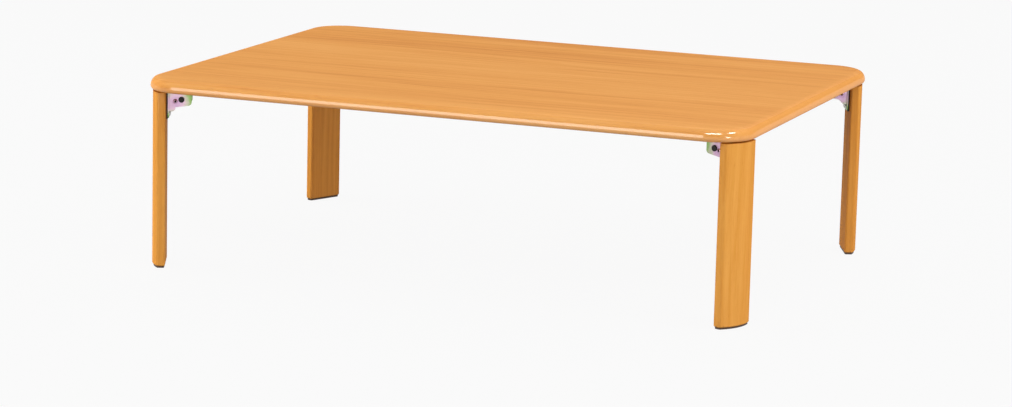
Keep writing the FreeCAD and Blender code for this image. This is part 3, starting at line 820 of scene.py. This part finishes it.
def small_steel(name, dark, light, roughness, metal):
    """Cloudy metal: one noise picks the tone and the roughness, and a finer one scratches the surface."""
    material, tree, shader, place = new_finish(name)
    cloud = noise(tree, place, scale=450.0, detail=5.0, roughness=0.6)
    scratches = noise(tree, place, scale=2600.0, detail=2.0)
    bump = add_node(tree, "Bump", {"Height": scratches, "Strength": 0.15, "Distance": 0.0001})
    tint = blend_colours(tree, ((DARK_STOP, dark), (LIGHT_STOP, light)), cloud)
    uneven = spread(tree, cloud, *NOISE_RANGE, roughness, roughness + STEEL_VARIATION)
    tree.links.new(tint, shader.inputs["Base Color"])
    tree.links.new(uneven, shader.inputs["Roughness"])
    tree.links.new(bump.outputs["Normal"], shader.inputs["Normal"])
    shader.inputs["Metallic"].default_value = metal
    return material


zinc = small_steel(
    "zinc_fasteners", paint(176, 178, 180), paint(208, 206, 198), roughness=0.24, metal=1.0)
black_steel = small_steel(
    "blackened_steel", paint(22, 21, 22), paint(40, 38, 38), roughness=0.38, metal=0.5)
wire_steel = small_steel(
    "spring_wire_steel", paint(120, 116, 108), paint(158, 152, 142), roughness=0.26, metal=1.0)
wear(zinc, at_corners("cross_base_screws", "cross_leg_screws"))
wear(black_steel, at_corners("turned_post", "turned_pin"))
wear(wire_steel, at_corners("coil_spring"))

# %% [markdown]
# The rivets went through the plating bath with the brackets, so their heads are rose too. The bottom of each
# dimple is painted dark, as painted shade in the recess. Distance from the axle tells one from the other.

# %% Rivet finish
RING_REACH, RING_SHIFT = 0.004, 0.03
# The darkest stop, at the middle of each head, is painted shade in the dimple, not a colour of the metal.
PAINTED_DIMPLE_SHADE, MAUVE, PALE_ROSE = paint(44, 28, 26), paint(186, 150, 176), paint(212, 178, 202)
RIVET_FILM_AND_SHADE = ((0.40, PAINTED_DIMPLE_SHADE), (0.50, MAUVE), (1.0, PALE_ROSE))
RIVET_ROUGHNESS = (0.26, 0.40)

for corner in CORNERS:
    finish, tree, shader, place = new_finish("plated_rivet_dimple_shade_" + corner)
    cloud = noise(tree, place, scale=450.0, detail=4.0)
    ring = spread(tree, from_axle(tree, place, corner), 0.0, RING_REACH, 0.0, 1.0)
    ring = weigh(tree, "ADD", ring, spread(tree, cloud, *NOISE_RANGE, -RING_SHIFT, RING_SHIFT))
    tree.links.new(blend_colours(tree, RIVET_FILM_AND_SHADE, ring), shader.inputs["Base Color"])
    tree.links.new(spread(tree, cloud, *NOISE_RANGE, *RIVET_ROUGHNESS), shader.inputs["Roughness"])
    shader.inputs["Metallic"].default_value = 0.8
    wear(finish, ["rivet_pair_" + corner])

# %% [markdown]
# ## Floor and light
#
# The table stands on a pale seamless floor. Camera and mirror-like rays see that floor a good part white already,
# so the picture's background is light without more lamps, and the rest of it is a plain matt surface that keeps
# the table's shadow.

# %% Floor
FLOOR_HALF = 20.0
FLOOR_GREY = paint(150, 150, 150)
FLOOR_WHITE = 0.93


def seen_directly(tree):
    """1 for rays from the camera, a gloss or a clear material, and 0 for light that falls on matt surfaces."""
    ray = add_node(tree, "LightPath", {}).outputs
    camera_or_glossy = weigh(tree, "MAXIMUM", ray["Is Camera Ray"], ray["Is Glossy Ray"])
    return weigh(tree, "MAXIMUM", camera_or_glossy, ray["Is Transmission Ray"])


floor_mesh = bpy.data.meshes.new("floor")
square = np.array(((-1, -1, 0), (1, -1, 0), (1, 1, 0), (-1, 1, 0))) * FLOOR_HALF
floor_mesh.from_pydata(square, [], [(0, 1, 2, 3)])
floor = bpy.data.objects.new("floor", floor_mesh)
bpy.context.scene.collection.objects.link(floor)

sweep, tree, shader, _ = new_finish("pale_sweep")
shader.inputs["Base Color"].default_value = FLOOR_GREY
shader.inputs["Roughness"].default_value = 0.9
white = add_node(tree, "Emission", {"Color": (1, 1, 1, 1), "Strength": 1.0})
share = weigh(tree, "MULTIPLY", seen_directly(tree), FLOOR_WHITE)
surface = add_node(tree, "MixShader", {0: share, 1: shader.outputs[0], 2: white.outputs[0]})
output = next(node for node in tree.nodes if node.type == "OUTPUT_MATERIAL")
tree.links.new(surface.outputs[0], output.inputs["Surface"])
floor_mesh.materials.append(sweep)
print("floor", FLOOR_HALF * 2, "m wide")

# %% [markdown]
# Product light is soft: two softboxes high up in front and on the right, a large one behind the table, and a
# panel on each side. The large ones would show in the lacquer as white patches, so they are hidden from gloss,
# which Blender allows for each lamp.

# %% Soft light
WHITE = (1.0, 1.0, 1.0)
WARM = (1.0, 0.97, 0.86)


def softbox(name, place, size, watts, tint=WHITE, matt=True, glossy=True):
    """A rectangular lamp that looks at the table's middle, and lights matt surfaces, shows in gloss, or both."""
    lamp = bpy.data.lights.new(name, "AREA")
    lamp.shape = "RECTANGLE"
    lamp.size, lamp.size_y = size
    lamp.energy, lamp.color = watts, tint
    box = bpy.data.objects.new(name, lamp)
    box.location = place
    box.visible_diffuse, box.visible_glossy = matt, glossy
    box.rotation_euler = (Vector(place) - LOOK_AT).to_track_quat("Z", "Y").to_euler()
    bpy.context.scene.collection.objects.link(box)
    print(name, watts, "W")


softbox("front_softbox", (0.87, -2.57, 2.61), (1.9, 0.50), watts=22.0)
softbox("right_softbox", (2.5, -0.82, 2.77), (0.9, 0.6), watts=14.0)
softbox("back_softbox", (0.8, 3.2, 3.2), (4.0, 2.6), watts=43.0, glossy=False)
softbox("left_panel", (-3.5, -0.6, 1.1), (3.0, 1.6), watts=84.0, glossy=False)
softbox("right_panel", (3.5, 0.2, 0.90), (2.8, 1.3), watts=51.0, glossy=False)

# %% [markdown]
# The lacquer's gloss needs lamps where it mirrors them into the lens. A warm card far out in front, with a wing
# beside it, runs a cream band along the front edge, and a low panel brightens the round below it. A small panel
# on the right lifts the near corner, and two strips high up draw thin glints on the edge. Wing and strips are
# hidden from matt surfaces, so they add no light there.

# %% Gloss light
softbox("front_card", (-2.5, -7.0, 1.3), (2.1, 2.5), watts=76.0, tint=WARM)
softbox("card_wing", (-4.12, -6.42, 1.3), (1.35, 2.5), watts=50.0, tint=WARM, matt=False)
softbox("low_panel", (-0.50, -1.7, 0.100), (1.4, 0.17), watts=2.6, tint=WARM)
softbox("corner_panel", (2.86, -2.2, 0.46), (0.6, 0.35), watts=10.0)
softbox("front_strip", (0.80, -2.50, 2.56), (1.9, 0.80), watts=50.0, matt=False)
softbox("right_strip", (2.45, -0.80, 2.72), (1.0, 0.80), watts=30.0, matt=False)

# %% [markdown]
# The sky is brighter overhead than at the horizon, so the flat top gets more of its light than the sides do. A
# white strip low in the sky is there for the camera and for gloss alone, and joins the floor to the background.

# %% World
SKY_HEIGHTS, SKY_STRENGTHS = (0.15, 1.0), (0.20, 0.65)
STRIP_HEIGHTS, STRIP_STRENGTH = (0.05, 0.09), 0.95

world = bpy.data.worlds.new("studio")
world.use_nodes = True
bpy.context.scene.world = world
sky = world.node_tree
glow = next(node for node in sky.nodes if node.type == "BACKGROUND")
glow.inputs["Color"].default_value = (*WHITE, 1.0)
direction = add_node(sky, "TexCoord", {}).outputs["Generated"]
height = add_node(sky, "SeparateXYZ", {"Vector": direction}).outputs["Z"]
fade = spread(sky, height, *SKY_HEIGHTS, *SKY_STRENGTHS)
strip = weigh(sky, "MULTIPLY", seen_directly(sky), spread(sky, height, *STRIP_HEIGHTS, 1.0, 0.0))
sky.links.new(spread(sky, strip, 0.0, 1.0, fade, STRIP_STRENGTH), glow.inputs["Strength"])
bpy.context.scene.view_settings.view_transform = "Standard"
print("sky strength", SKY_STRENGTHS[0], "at the horizon,", SKY_STRENGTHS[1], "overhead")
